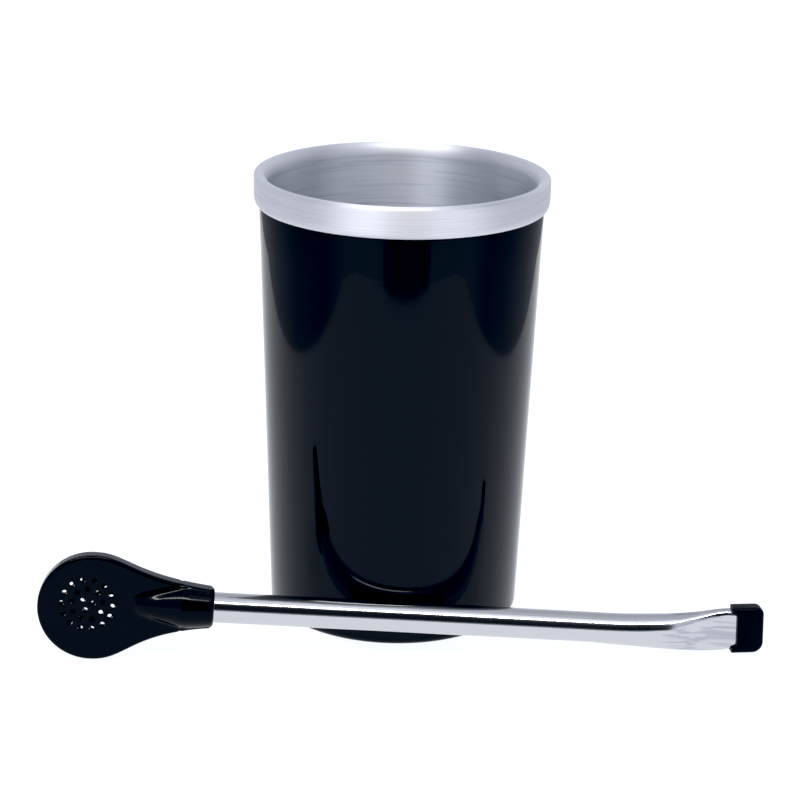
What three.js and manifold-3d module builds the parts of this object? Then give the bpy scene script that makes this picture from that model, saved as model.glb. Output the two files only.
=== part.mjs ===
// A mate cup with its drinking straw, in millimetres, +Z up.
// The origin is the centre of the cup's base, and the straw lies in front of the cup along X.
// The cup is a turned aluminium liner with a thick collar, set in a tapered glossy black shell.
// The straw is a round metal tube with a hollow perforated strainer head and a soft mouth cap.
// It stands on the edge of its flat head and of its flat mouth end, and leans back on the cup.

import * as THREE from "three";
import { mergeVertices } from "three/addons/utils/BufferGeometryUtils.js";
import Module from "manifold-3d";

const wasm = await Module();
wasm.setup();

// The clear gap between pieces that touch.
const GAP = 0.3;

// Cup: the collar, and the shell below it.
const CUP_HEIGHT = 124.2;
const COLLAR_RADIUS = 40.3;
const COLLAR_HEIGHT = 8.4;
const COLLAR_TOP_ROUND = 1;
const COLLAR_CURL = 1.1; // how far the collar's lower edge curls in
const COLLAR_CURL_HEIGHT = 2.6;
const COLLAR_CURL_START = -60; // the angle in degrees at which the curl begins
const LIP_WIDTH = 3.2; // from the collar's outside to the inner edge of its rounded lip
const LIP_CREST = 1.5; // from the collar's outside to where the lip is highest
const LIP_DEPTH = 3.2; // how far down the lip's inner rounding reaches
const LIP_LEAN = 0.35; // how much further in than its crest the lip's rounding ends
const LIP_START = 95; // the angle in degrees at which the lip's rounding begins
const THROAT_DEPTH = 6.2; // from the top down to where the straight inner wall starts
const SHELL_TOP_RADIUS = 38.8;
const SHELL_FOOT_RADIUS = 34.93; // where the side would meet the table without its rounding
const SHELL_WALL = 1.1;
const SHELL_FLOOR = 3;
const FOOT_ROUND = 1.8;
const NEST_ROUND = 3.3; // inside the shell's corner and outside the liner's
const LINER_WALL = 0.85;
const LINER_FLOOR = 1.6;
const LINER_CORNER = 6;
const BASE_GROOVE = { radius: 25, halfWidth: 0.8, depth: 0.8 };
const CUP_SEGMENTS = 60;
const ARC_STEPS = 4;

const COLLAR_BOTTOM = CUP_HEIGHT - COLLAR_HEIGHT;
const SHELL_TOP = COLLAR_BOTTOM - GAP;
const TAPER = (SHELL_TOP_RADIUS - SHELL_FOOT_RADIUS) / SHELL_TOP;

// Straw, in its own frame: X runs along the tube from the middle of the head to the mouth, Y is
// its thickness and Z its width. The head's round face and the pressed mouth lie in the XZ plane.
const TUBE_RADIUS = 4.12;
const TUBE_WALL = 0.6;
const TUBE_SIDES = 20;
const HEAD_RADIUS = 14.5;
const HEAD_DROP = 1.25; // how far the head's middle hangs below the tube's axis
const HEAD_HALF_THICKNESS = 2.4;
const HEAD_EDGE = 0.6;
const HEAD_WALL = 0.9;
const HEAD_RIM_WALL = 1.3;
const NECK_TANGENT = THREE.MathUtils.degToRad(92); // where the neck leaves the round, from +X
const NECK_LEAVE = { above: 9.3, below: 10.6 }; // how far it keeps to the round's tangent
const NECK_ARRIVE = 22.9; // how far it keeps to the end's slope
const NECK_SLOPE = 0.105;
const NECK_END = 32.5;
const NECK_END_RADIUS = 5.35;
// The conical socket rises out of the flat head at its nose and is widest at its shoulder.
const SOCKET = { nose: 10.8, shoulder: 24.2, shoulderRound: 1.3, radius: 6.05, endRound: 0.8 };
const BLUNT = { x: 12.4, radius: 3.5 }; // where the socket's blunt nose turns into its cone
const SOCKET_DEPTH = 10; // how far the tube goes in
const PASSAGE_RADIUS = 2.6; // the way from the hollow into the tube
const PASSAGE_START = 19.6;
const HOLE_RADIUS = 0.68;
const HOLE_SIDES = 8;
// The hole rings' centres, from the middle of the head.
const FRONT_RINGS_AT = { x: -1.2, z: 1 };
const BACK_RINGS_AT = { x: -1.6, z: 0 };
const FRONT_RINGS = [
  { count: 14, radius: 6.85, turn: 359.5 },
  { count: 9, radius: 4.25, turn: 331 },
  { count: 3, radius: 1.65, turn: 134 },
];
const BACK_RINGS = [
  { count: 16, radius: 6.9, turn: 18 },
  { count: 4, radius: 4.5, turn: 58 },
  { count: 3, radius: 1.4, turn: 33 },
];

// The mouth end: the tube's sections as it's pressed flat, and as its middle rises off the axis.
const PRESSED = [
  { x: 133, rise: 0, halfWidth: 4.12, halfThickness: 4.12 },
  { x: 140, rise: -0.14, halfWidth: 4.28, halfThickness: 4.12 },
  { x: 145.6, rise: -0.18, halfWidth: 4.44, halfThickness: 4.11 },
  { x: 151.6, rise: -0.14, halfWidth: 4.72, halfThickness: 4.06 },
  { x: 157.6, rise: -0.02, halfWidth: 5.04, halfThickness: 3.7 },
  { x: 163.6, rise: 0.36, halfWidth: 5.46, halfThickness: 2.5 },
  { x: 168.6, rise: 0.97, halfWidth: 5.83, halfThickness: 1.78 },
  { x: 172.1, rise: 1.48, halfWidth: 5.85, halfThickness: 1.66 },
];
const PRESSED_STEPS = 12;
const PRESSED_SQUARENESS = 0.55; // the power of the sine in a section pressed quite flat
const MOUTH_TURN = THREE.MathUtils.degToRad(4.5); // how far the mouth points up from the axis
const MOUTH = { x: 174, rise: 1.66, halfWidth: 5.6, halfThickness: 1.65, length: 3.9 };

// The cap, in the mouth's frame, which starts where the tube's edges enter the cap.
const CAP = { start: -0.5, end: 8.1, halfWidth: 6.4, halfThickness: 2.6, edge: 0.9 };
const CAP_CORNER = { above: 1.9, below: 3 };
const CAP_FACE_START = 0.8; // the cap's broad faces start further on than its edges
const CAP_NOTCH_HALF_WIDTH = 5.3;
const CAP_NOTCH_CORNER = 1.8;
const SLOT_HALF_WIDTH = 4.4;
const SLOT_HALF_THICKNESS = 0.8;

// How the straw stands: it leans back on the cup, and its tube crosses in front of the cup's axis.
const LEAN = THREE.MathUtils.degToRad(5);
const CROSSING = 83.5; // from the middle of the head to the point nearest the cup's axis
const SHELL_CLEARANCE = 0.4; // from the tube to the shell it leans on

const black = { color: 0x0b0d14, roughness: 0.12, metalness: 0 };
const MATERIALS = {
  shell: new THREE.MeshStandardMaterial(black),
  aluminium: new THREE.MeshStandardMaterial({ color: 0xc9ccd4, roughness: 0.35, metalness: 1 }),
  head: new THREE.MeshStandardMaterial({ ...black, roughness: 0.2 }),
  tube: new THREE.MeshStandardMaterial({ color: 0xd5d6dc, roughness: 0.08, metalness: 1 }),
  cap: new THREE.MeshStandardMaterial({ ...black, roughness: 0.5 }),
};

// Closed meshes as solids for joining and cutting, and back.
function solidOf(geometry) {
  const bare = new THREE.BufferGeometry().setAttribute("position", geometry.getAttribute("position"));
  bare.setIndex(geometry.getIndex());
  const merged = mergeVertices(bare, 1e-4);
  return new wasm.Manifold(
    new wasm.Mesh({
      numProp: 3,
      vertProperties: new Float32Array(merged.getAttribute("position").array),
      triVerts: new Uint32Array(merged.getIndex().array),
    }),
  );
}

function geometryOf(solid) {
  const mesh = solid.getMesh();
  const geometry = new THREE.BufferGeometry();
  geometry.setAttribute("position", new THREE.BufferAttribute(mesh.vertProperties, 3));
  geometry.setIndex(new THREE.BufferAttribute(mesh.triVerts, 1));
  geometry.computeVertexNormals();
  return geometry;
}

// Points of a round corner in a profile, from one angle to another in degrees.
function arc(x, y, radiusX, radiusY, from, to, steps = ARC_STEPS) {
  return Array.from({ length: steps + 1 }, (_, i) => {
    const angle = THREE.MathUtils.degToRad(from + ((to - from) * i) / steps);
    return new THREE.Vector2(x + radiusX * Math.cos(angle), y + radiusY * Math.sin(angle));
  });
}

const point = (x, y) => new THREE.Vector2(x, y);

// A solid of revolution about Z, from a profile of (radius, height).
function turned(profile) {
  return new THREE.LatheGeometry(profile, CUP_SEGMENTS).rotateX(Math.PI / 2);
}

// The shell's outer radius at a height, without the foot's rounding.
const shellRadius = (z) => SHELL_FOOT_RADIUS + TAPER * z;

// The black shell: a plain tapered cup with a flat, grooved base.
function shell() {
  const inner = (z) => shellRadius(z) - SHELL_WALL;
  const foot = shellRadius(FOOT_ROUND) - FOOT_ROUND;
  const groove = BASE_GROOVE;
  return turned([
    point(0, 0),
    point(groove.radius - groove.halfWidth, 0),
    point(groove.radius - groove.halfWidth / 2, groove.depth),
    point(groove.radius + groove.halfWidth / 2, groove.depth),
    point(groove.radius + groove.halfWidth, 0),
    ...arc(foot, FOOT_ROUND, FOOT_ROUND, FOOT_ROUND, -90, 0),
    point(SHELL_TOP_RADIUS, SHELL_TOP),
    point(SHELL_TOP_RADIUS - SHELL_WALL, SHELL_TOP),
    ...arc(
      inner(SHELL_FLOOR + NEST_ROUND) - NEST_ROUND,
      SHELL_FLOOR + NEST_ROUND,
      NEST_ROUND,
      NEST_ROUND,
      0,
      -90,
      3,
    ),
    point(0, SHELL_FLOOR),
  ]);
}

// The aluminium liner with its rounded lip and the thick collar that covers the shell's top edge.
function liner() {
  const outer = (z) => shellRadius(z) - SHELL_WALL - GAP;
  const inner = (z) => outer(z) - LINER_WALL;
  const bottom = SHELL_FLOOR + GAP;
  const floor = bottom + LINER_FLOOR;
  const throat = CUP_HEIGHT - THROAT_DEPTH;
  const lipRadius = COLLAR_RADIUS - LIP_WIDTH;
  const crest = COLLAR_RADIUS - LIP_CREST;
  const lipLow = CUP_HEIGHT - LIP_DEPTH;
  return turned([
    point(0, bottom),
    ...arc(
      outer(bottom + NEST_ROUND) - NEST_ROUND,
      bottom + NEST_ROUND,
      NEST_ROUND,
      NEST_ROUND,
      -90,
      0,
      3,
    ),
    point(outer(COLLAR_BOTTOM), COLLAR_BOTTOM),
    point(COLLAR_RADIUS - COLLAR_CURL, COLLAR_BOTTOM),
    ...arc(
      COLLAR_RADIUS - COLLAR_CURL,
      COLLAR_BOTTOM + COLLAR_CURL_HEIGHT,
      COLLAR_CURL,
      COLLAR_CURL_HEIGHT,
      COLLAR_CURL_START,
      0,
      3,
    ),
    ...arc(
      COLLAR_RADIUS - COLLAR_TOP_ROUND,
      CUP_HEIGHT - COLLAR_TOP_ROUND,
      COLLAR_TOP_ROUND,
      COLLAR_TOP_ROUND,
      0,
      90,
    ),
    ...arc(crest, lipLow, crest - lipRadius + LIP_LEAN, LIP_DEPTH, LIP_START, 180),
    point(inner(throat), throat),
    ...arc(
      inner(floor + LINER_CORNER) - LINER_CORNER,
      floor + LINER_CORNER,
      LINER_CORNER,
      LINER_CORNER,
      0,
      -90,
    ),
    point(0, floor),
  ]);
}

// The head's outline in XZ: a round below the tube's axis that runs into a tapering neck on it.
// An inset gives the hollow's.
function headOutline(inset) {
  const radius = HEAD_RADIUS - inset;
  const sin = Math.sin(NECK_TANGENT);
  const cos = Math.cos(NECK_TANGENT);
  const endY = NECK_END_RADIUS - inset;
  const arriveX = NECK_END - NECK_ARRIVE;
  const arriveY = endY + NECK_ARRIVE * NECK_SLOPE;
  const startX = radius * cos;
  const above = { y: radius * sin - HEAD_DROP, leave: NECK_LEAVE.above };
  const below = { y: -radius * sin - HEAD_DROP, leave: NECK_LEAVE.below };
  const aboveX = startX + above.leave * sin;
  const belowX = startX + below.leave * sin;
  const aboveY = above.y - above.leave * cos;
  const belowY = below.y + below.leave * cos;
  const shape = new THREE.Shape();
  shape.moveTo(NECK_END, -endY);
  shape.lineTo(NECK_END, endY);
  shape.bezierCurveTo(arriveX, arriveY, aboveX, aboveY, startX, above.y);
  shape.absarc(0, -HEAD_DROP, radius, NECK_TANGENT, 2 * Math.PI - NECK_TANGENT, false);
  shape.bezierCurveTo(belowX, belowY, arriveX, -arriveY, NECK_END, -endY);
  return shape;
}

// A flat piece of an outline in XZ, centred on Y, with rounded edges if edge isn't 0.
function plate(shape, halfThickness, edge, segments) {
  const depth = 2 * (halfThickness - edge);
  return new THREE.ExtrudeGeometry(shape, {
    depth,
    curveSegments: segments,
    bevelEnabled: edge > 0,
    bevelThickness: edge,
    bevelSize: edge,
    bevelOffset: -edge,
    bevelSegments: 2,
  })
    .translate(0, 0, -depth / 2)
    .rotateX(Math.PI / 2);
}

// A solid of revolution about the straw's own X axis, from a profile of (radius, x).
function turnedAlongX(profile) {
  return new THREE.LatheGeometry(profile, TUBE_SIDES).rotateZ(-Math.PI / 2);
}

function rod(radius, from, to) {
  const profile = [point(0, from), point(radius, from), point(radius, to), point(0, to)];
  return turnedAlongX(profile);
}

// The round socket that grows out of the flat head and holds the tube.
function socket() {
  const { nose, shoulder, shoulderRound, radius, endRound } = SOCKET;
  const steepness = (radius - BLUNT.radius) / (shoulder - BLUNT.x);
  return turnedAlongX([
    point(0, nose),
    point(HEAD_HALF_THICKNESS, nose),
    point(BLUNT.radius, BLUNT.x),
    point(radius - steepness * shoulderRound, shoulder - shoulderRound),
    point(radius, shoulder + shoulderRound),
    ...arc(NECK_END_RADIUS - endRound, NECK_END - endRound, endRound, endRound, 0, 90, 2),
    point(0, NECK_END),
  ]);
}

// Rings of holes through one face of the head, from y = from to y = to.
function holes(rings, centre, from, to) {
  const drill = new THREE.CylinderGeometry(HOLE_RADIUS, HOLE_RADIUS, to - from, HOLE_SIDES);
  const made = [];
  for (const ring of rings) {
    for (let i = 0; i < ring.count; i++) {
      const angle = THREE.MathUtils.degToRad(ring.turn) + (2 * Math.PI * i) / ring.count;
      const x = centre.x + ring.radius * Math.cos(angle);
      const z = centre.z - HEAD_DROP + ring.radius * Math.sin(angle);
      made.push(solidOf(drill.clone().translate(x, (from + to) / 2, z)));
    }
  }
  return made;
}

// The hollow strainer head: a flat round with holes in both faces, and the socket for the tube.
function strainerHead() {
  const cavityHalf = HEAD_HALF_THICKNESS - HEAD_WALL;
  const middle = solidOf(plate(headOutline(0), HEAD_HALF_THICKNESS, HEAD_EDGE, 14));
  const past = NECK_END + 1; // clear of the neck's end
  const neckCut = solidOf(rod(2 * HEAD_RADIUS, NECK_END - SOCKET.endRound, past));
  const outside = middle.subtract(neckCut).add(solidOf(socket()));
  const cavityEnd = NECK_END - SOCKET_DEPTH;
  const beyond = solidOf(rod(2 * HEAD_RADIUS, cavityEnd, past));
  const cavity = solidOf(plate(headOutline(HEAD_RIM_WALL), cavityHalf, 0, 8)).subtract(beyond);
  const passage = solidOf(rod(PASSAGE_RADIUS, PASSAGE_START, cavityEnd + 1));
  const bore = solidOf(rod(TUBE_RADIUS + GAP, cavityEnd, past));
  const outsideFace = HEAD_HALF_THICKNESS + 1;
  const insideFace = cavityHalf - 0.5;
  const front = holes(FRONT_RINGS, FRONT_RINGS_AT, -outsideFace, -insideFace);
  const back = holes(BACK_RINGS, BACK_RINGS_AT, insideFace, outsideFace);
  return [cavity, passage, bore, ...front, ...back].reduce((solid, cut) => solid.subtract(cut), outside);
}

// A ring of points round X: a circle that can be pressed flat into an oval with fuller sides.
function ovalRing(x, rise, halfWidth, halfThickness) {
  const flatness = 1 - halfThickness / halfWidth;
  const squareness = 1 - (1 - PRESSED_SQUARENESS) * flatness;
  return Array.from({ length: TUBE_SIDES }, (_, i) => {
    const angle = (2 * Math.PI * (i + 0.5)) / TUBE_SIDES;
    const y = Math.sign(Math.sin(angle)) * Math.abs(Math.sin(angle)) ** squareness;
    return new THREE.Vector3(x, halfThickness * y, rise + halfWidth * Math.cos(angle));
  });
}

// A closed skin through rings of points. Open rings join last to first, as a tube's walls do.
function ringSkin(rings, closedEnds) {
  const count = rings[0].length;
  const flat = rings.flat();
  const index = [];
  const joined = closedEnds ? rings.length - 1 : rings.length;
  for (let r = 0; r < joined; r++) {
    const here = r * count;
    const next = ((r + 1) % rings.length) * count;
    for (let i = 0; i < count; i++) {
      const j = (i + 1) % count;
      index.push(here + i, next + i, next + j, here + i, next + j, here + j);
    }
  }
  if (closedEnds) {
    const last = (rings.length - 1) * count;
    for (let i = 1; i < count - 1; i++) {
      index.push(0, i, i + 1);
      index.push(last, last + i + 1, last + i);
    }
  }
  const geometry = new THREE.BufferGeometry().setFromPoints(flat);
  geometry.setIndex(index);
  return geometry;
}

// The way from the straw's frame to the mouth's.
const toMouth = new THREE.Matrix4()
  .makeTranslation(MOUTH.x, 0, MOUTH.rise)
  .multiply(new THREE.Matrix4().makeRotationY(-MOUTH_TURN));

// The metal tube, open at both ends: round in the socket and pressed flat at the mouth. An inset
// of the wall's thickness gives its bore.
function tubeRings(inset) {
  const sections = new THREE.CubicInterpolant(
    PRESSED.map((section) => section.x),
    PRESSED.flatMap((section) => [section.rise, section.halfWidth, section.halfThickness]),
    3,
  );
  const radius = TUBE_RADIUS - inset;
  const rings = [ovalRing(NECK_END - SOCKET_DEPTH + GAP, 0, radius, radius)];
  const first = PRESSED[0].x;
  const length = PRESSED.at(-1).x - first;
  for (let i = 0; i <= PRESSED_STEPS; i++) {
    const x = first + (length * i) / PRESSED_STEPS;
    const [rise, halfWidth, halfThickness] = sections.evaluate(x);
    rings.push(ovalRing(x, rise, halfWidth - inset, halfThickness - inset));
  }
  for (const x of [0, MOUTH.length]) {
    const ring = ovalRing(x, 0, MOUTH.halfWidth - inset, MOUTH.halfThickness - inset);
    rings.push(ring.map((corner) => corner.applyMatrix4(toMouth)));
  }
  return rings;
}

const tube = () => ringSkin([...tubeRings(0), ...tubeRings(TUBE_WALL).reverse()], false);

// A straight bar with the pressed tube's section, in the mouth's frame.
function ovalBar(from, to, halfWidth, halfThickness) {
  return ringSkin([from, to].map((x) => ovalRing(x, 0, halfWidth, halfThickness)), true);
}

// The cap's outline in XZ: square where it meets the tube and rounded at the mouth.
function capOutline() {
  const { start, end, halfWidth } = CAP;
  const { above, below } = CAP_CORNER;
  const shape = new THREE.Shape();
  shape.moveTo(start, -halfWidth);
  shape.lineTo(end - below, -halfWidth);
  shape.absarc(end - below, below - halfWidth, below, -Math.PI / 2, 0, false);
  shape.absarc(end - above, halfWidth - above, above, 0, Math.PI / 2, false);
  shape.lineTo(start, halfWidth);
  return shape;
}

// The notch that lets the metal's rounded end show on the cap's broad faces.
function notchOutline() {
  const back = CAP.start - 1;
  const corner = CAP_FACE_START - CAP_NOTCH_CORNER;
  const side = CAP_NOTCH_HALF_WIDTH - CAP_NOTCH_CORNER;
  const shape = new THREE.Shape();
  shape.moveTo(back, -CAP_NOTCH_HALF_WIDTH);
  shape.lineTo(corner, -CAP_NOTCH_HALF_WIDTH);
  shape.absarc(corner, -side, CAP_NOTCH_CORNER, -Math.PI / 2, 0, false);
  shape.absarc(corner, side, CAP_NOTCH_CORNER, 0, Math.PI / 2, false);
  shape.lineTo(back, CAP_NOTCH_HALF_WIDTH);
  return shape;
}

// The soft black mouth cap, with a pocket for the pressed tube and a slot to drink from.
function mouthCap() {
  const outside = solidOf(plate(capOutline(), CAP.halfThickness, CAP.edge, 4));
  const notch = solidOf(plate(notchOutline(), 2 * CAP.halfThickness, 0, 3));
  const pocketWidth = MOUTH.halfWidth + GAP;
  const pocketThickness = MOUTH.halfThickness + GAP;
  const pocketEnd = MOUTH.length + GAP;
  const pocket = solidOf(ovalBar(CAP.start - 1, pocketEnd, pocketWidth, pocketThickness));
  const slot = solidOf(ovalBar(MOUTH.length, CAP.end + 1, SLOT_HALF_WIDTH, SLOT_HALF_THICKNESS));
  return outside.subtract(notch).subtract(pocket).subtract(slot);
}

function piece(name, geometry, material) {
  const mesh = new THREE.Mesh(geometry, material);
  mesh.name = name;
  return mesh;
}

const head = piece("strainer_head", geometryOf(strainerHead()), MATERIALS.head);
const straw = piece("straw_tube", tube(), MATERIALS.tube);
const cap = piece("mouth_cap", geometryOf(mouthCap()).applyMatrix4(toMouth), MATERIALS.cap);

// The straw's lowest point below its own axis' start, for a slope down towards the mouth.
function lowestPoint(mesh, slope) {
  const turn = new THREE.Matrix4().makeRotationFromEuler(new THREE.Euler(-LEAN, slope, 0));
  const turnedCopy = mesh.geometry.clone().applyMatrix4(turn);
  turnedCopy.computeBoundingBox();
  return turnedCopy.boundingBox.min.z;
}

// The slope at which the head and the cap both touch the table, by halving a range.
function restingSlope() {
  let low = 0;
  let high = THREE.MathUtils.degToRad(6);
  for (let i = 0; i < 24; i++) {
    const middle = (low + high) / 2;
    if (lowestPoint(cap, middle) > lowestPoint(head, middle)) low = middle;
    else high = middle;
  }
  return low;
}

const slope = restingSlope();
const headHeight = -lowestPoint(head, slope);
const crossingHeight = headHeight - CROSSING * Math.sin(slope) * Math.cos(LEAN);

// The straw turns about the point of its axis that passes nearest the cup.
const strawGroup = new THREE.Group();
strawGroup.rotation.set(-LEAN, slope, 0);
const crossingDistance = shellRadius(crossingHeight) + TUBE_RADIUS + SHELL_CLEARANCE;
strawGroup.position.set(0, -crossingDistance, crossingHeight);
for (const mesh of [head, straw, cap]) {
  mesh.position.x = -CROSSING;
  strawGroup.add(mesh);
}

const cup = new THREE.Group();
cup.add(piece("cup_shell", shell(), MATERIALS.shell));
cup.add(piece("cup_liner", liner(), MATERIALS.aluminium));

const mateCup = new THREE.Group();
mateCup.add(cup, strawGroup);

export default mateCup;
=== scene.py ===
"""A mate cup with its straw on a pale studio floor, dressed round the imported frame.

The cup is a glossy black shell with a turned aluminium liner and collar. The straw lies in front
of it: a black strainer head, a polished steel tube and a soft black mouth cap. Everything is drawn
in millimetres, and each finished mesh is brought into the frame's metres at the end.
"""

from __future__ import annotations

import logging
import math
import sys
from dataclasses import dataclass, field
from enum import Enum
from typing import Sequence

import bpy
from mathutils import Matrix, Vector


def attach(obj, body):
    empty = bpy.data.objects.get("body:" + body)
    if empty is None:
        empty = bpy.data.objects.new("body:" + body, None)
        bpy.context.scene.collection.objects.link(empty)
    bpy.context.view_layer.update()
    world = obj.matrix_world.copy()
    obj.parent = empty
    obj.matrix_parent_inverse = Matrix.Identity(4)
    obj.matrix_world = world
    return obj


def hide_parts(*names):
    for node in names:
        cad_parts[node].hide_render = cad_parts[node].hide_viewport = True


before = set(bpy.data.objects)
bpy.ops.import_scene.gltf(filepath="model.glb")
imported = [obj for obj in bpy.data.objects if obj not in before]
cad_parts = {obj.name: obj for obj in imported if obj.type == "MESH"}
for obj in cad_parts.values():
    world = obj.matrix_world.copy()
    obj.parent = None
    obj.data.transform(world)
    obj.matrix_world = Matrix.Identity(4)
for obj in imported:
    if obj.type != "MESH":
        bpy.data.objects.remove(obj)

log = logging.getLogger("mate_cup")

Pair = tuple[float, float]
Triple = tuple[float, float, float]
Colour = tuple[float, float, float, float]
Profile = list[Pair]
Levels = tuple[Pair, ...]
Rings = tuple[tuple[int, float, float], ...]
Piece = bpy.types.Object
Material = bpy.types.Material
Tree = bpy.types.NodeTree
Node = bpy.types.Node
Socket = bpy.types.NodeSocket

MM = 0.001


class Axis(Enum):
    """The line that a turned piece is turned about."""

    UPRIGHT = "Z"
    ALONG_STRAW = "X"


# An edge that turns by more than this stays sharp.
SHARP_EDGE = math.radians(32)

# The straw stands as its solids do: it leans back, and slopes down towards its mouth.
STRAW_LEAN = math.radians(5)
STRAW_SLOPE = math.radians(3.5205895900726323)
STRAW_CROSSING = 83.5
STRAW_PLACE = Vector((0, -39.80903323254063, 10.715332909158352))
STRAW_TURN = Matrix.Rotation(-STRAW_LEAN, 4, "X") @ Matrix.Rotation(STRAW_SLOPE, 4, "Y")
STRAW_TO_FRAME = (
    Matrix.Scale(MM, 4)
    @ Matrix.Translation(STRAW_PLACE)
    @ STRAW_TURN
    @ Matrix.Translation((-STRAW_CROSSING, 0, 0))
)
CUP_TO_FRAME = Matrix.Scale(MM, 4)


def arc(x: float, y: float, rx: float, ry: float, start: float, end: float, steps: int) -> Profile:
    """Gives the points of a round corner in a profile.

    Args:
        x, y: The corner's centre.
        rx, ry: Its radius along each axis.
        start, end: The angles that it runs between, in degrees.
        steps: The number of straight steps.

    Returns:
        The points, both ends among them.
    """
    angles = [math.radians(start + (end - start) * i / steps) for i in range(steps + 1)]
    return [(x + rx * math.cos(a), y + ry * math.sin(a)) for a in angles]


def bezier(a: Vector, b: Vector, c: Vector, d: Vector, steps: int) -> Profile:
    """Gives the points of a cubic curve.

    Args:
        a, b, c, d: Its end, two handles and other end.
        steps: The number of straight steps.

    Returns:
        The points, without the first.
    """
    points = []
    for i in range(1, steps + 1):
        t = i / steps
        s = 1 - t
        p = a * s**3 + b * (3 * s * s * t) + c * (3 * s * t * t) + d * t**3
        points.append((p.x, p.y))
    return points


def straight(a: Pair, b: Pair, steps: int) -> Profile:
    """Gives the points of a straight stretch of a profile, without its ends."""
    across, along = b[0] - a[0], b[1] - a[1]
    return [(a[0] + across * i / steps, a[1] + along * i / steps) for i in range(1, steps)]


def deselect_all() -> None:
    """Leaves edit mode and selects nothing."""
    if bpy.context.object and bpy.context.object.mode != "OBJECT":
        bpy.ops.object.mode_set(mode="OBJECT")
    bpy.ops.object.select_all(action="DESELECT")


def pick(piece: Piece) -> None:
    """Makes one object the active and only selected one."""
    deselect_all()
    piece.select_set(True)
    bpy.context.view_layer.objects.active = piece


def edit(piece: Piece, everything: bool = True) -> None:
    """Enters edit mode on a piece, to select its edges.

    Args:
        piece: The object.
        everything: Whether all of it starts selected.
    """
    pick(piece)
    bpy.ops.object.mode_set(mode="EDIT")
    bpy.ops.mesh.select_mode(type="EDGE")
    bpy.ops.mesh.select_all(action="SELECT" if everything else "DESELECT")


def start_ring(name: str, axis: Axis, sides: int, radius: float, place: float) -> Piece:
    """Adds the open ring that a turned piece grows from, and leaves it in edit mode.

    Args:
        name: The piece's name.
        axis: What it is turned about.
        sides: The number of its corners.
        radius: Its radius.
        place: Where it is along the axis.

    Returns:
        The new object.
    """
    deselect_all()
    bpy.ops.mesh.primitive_circle_add(vertices=sides, radius=radius, fill_type="NOTHING")
    ring = bpy.context.object
    ring.name = ring.data.name = name
    half_step = Matrix.Rotation(math.pi / sides, 4, "Z")
    if axis is Axis.UPRIGHT:
        ring.data.transform(Matrix.Translation((0, 0, place)) @ half_step)
    else:
        turn = Matrix.Rotation(math.pi / 2, 4, "Y")
        ring.data.transform(Matrix.Translation((place, 0, 0)) @ turn @ half_step)
    edit(ring)
    return ring


def grow_rings(axis: Axis, profile: Profile) -> None:
    """Draws the selected ring out along a profile, ring after ring.

    Args:
        axis: What the piece is turned about.
        profile: Each ring's radius and place, the ring that is there first.
    """
    radius, place = profile[0]
    for next_radius, next_place in profile[1:]:
        step = next_place - place
        grow = next_radius / radius
        upright = axis is Axis.UPRIGHT
        move = (0, 0, step) if upright else (step, 0, 0)
        scale = (grow, grow, 1) if upright else (1, grow, grow)
        centre = (0, 0, next_place) if upright else (next_place, 0, 0)
        bpy.ops.mesh.extrude_edges_move(TRANSFORM_OT_translate={"value": move})
        bpy.ops.transform.resize(value=scale, center_override=centre)
        radius, place = next_radius, next_place


def close_rims() -> None:
    """Fills each open rim with one flat face."""
    bpy.ops.mesh.select_all(action="DESELECT")
    bpy.ops.mesh.select_non_manifold(extend=False)
    bpy.ops.mesh.edge_face_add()


def join_rims() -> None:
    """Joins the two open rims with a band of faces."""
    bpy.ops.mesh.select_all(action="DESELECT")
    bpy.ops.mesh.select_non_manifold(extend=False)
    bpy.ops.mesh.bridge_edge_loops()


def face_outwards(piece: Piece) -> None:
    """Turns all faces outwards and leaves edit mode."""
    bpy.ops.mesh.select_all(action="SELECT")
    bpy.ops.mesh.normals_make_consistent(inside=False)
    bpy.ops.object.mode_set(mode="OBJECT")
    piece.data.update()


def turned(name: str, axis: Axis, sides: int, profile: Profile) -> Piece:
    """Makes a closed solid of revolution.

    Args:
        name: The piece's name.
        axis: What it is turned about.
        sides: The number of its sides.
        profile: Radius and place of each ring, from one flat end round to the other.

    Returns:
        The new object.
    """
    piece = start_ring(name, axis, sides, *profile[0])
    grow_rings(axis, profile)
    close_rims()
    face_outwards(piece)
    return piece


def slab(name: str, outline: Profile, half: float, edge: float = 0, segments: int = 5) -> Piece:
    """Makes a flat piece of an outline in XZ, centred on Y.

    Args:
        name: The piece's name.
        outline: The corners of the outline.
        half: Half its thickness.
        edge: The radius of its rounded edges, or 0.
        segments: The steps of that rounding.

    Returns:
        The new object.
    """
    deselect_all()
    bpy.ops.mesh.primitive_circle_add(vertices=len(outline), radius=10, fill_type="NOTHING")
    piece = bpy.context.object
    piece.name = piece.data.name = name
    for vertex, (x, z) in zip(piece.data.vertices, outline):
        vertex.co = (x, -half, z)
    edit(piece)
    bpy.ops.mesh.edge_face_add()
    bpy.ops.mesh.extrude_region_move(TRANSFORM_OT_translate={"value": (0, 2 * half, 0)})
    face_outwards(piece)
    if edge:
        edit(piece, everything=False)
        bpy.ops.object.mode_set(mode="OBJECT")
        for rim in piece.data.edges:
            ends = [piece.data.vertices[i].co.y for i in rim.vertices]
            rim.select = abs(ends[0] - ends[1]) < half
        bpy.ops.object.mode_set(mode="EDIT")
        bpy.ops.mesh.bevel(offset=edge, segments=segments, profile=0.5, affect="EDGES")
        face_outwards(piece)
    return piece


def apply_modifier(piece: Piece, kind: str, **settings: object) -> None:
    """Adds a modifier with its settings and applies it."""
    pick(piece)
    modifier = piece.modifiers.new(kind.lower(), kind)
    for name, value in settings.items():
        setattr(modifier, name, value)
    bpy.ops.object.modifier_apply(modifier=modifier.name)


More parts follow.
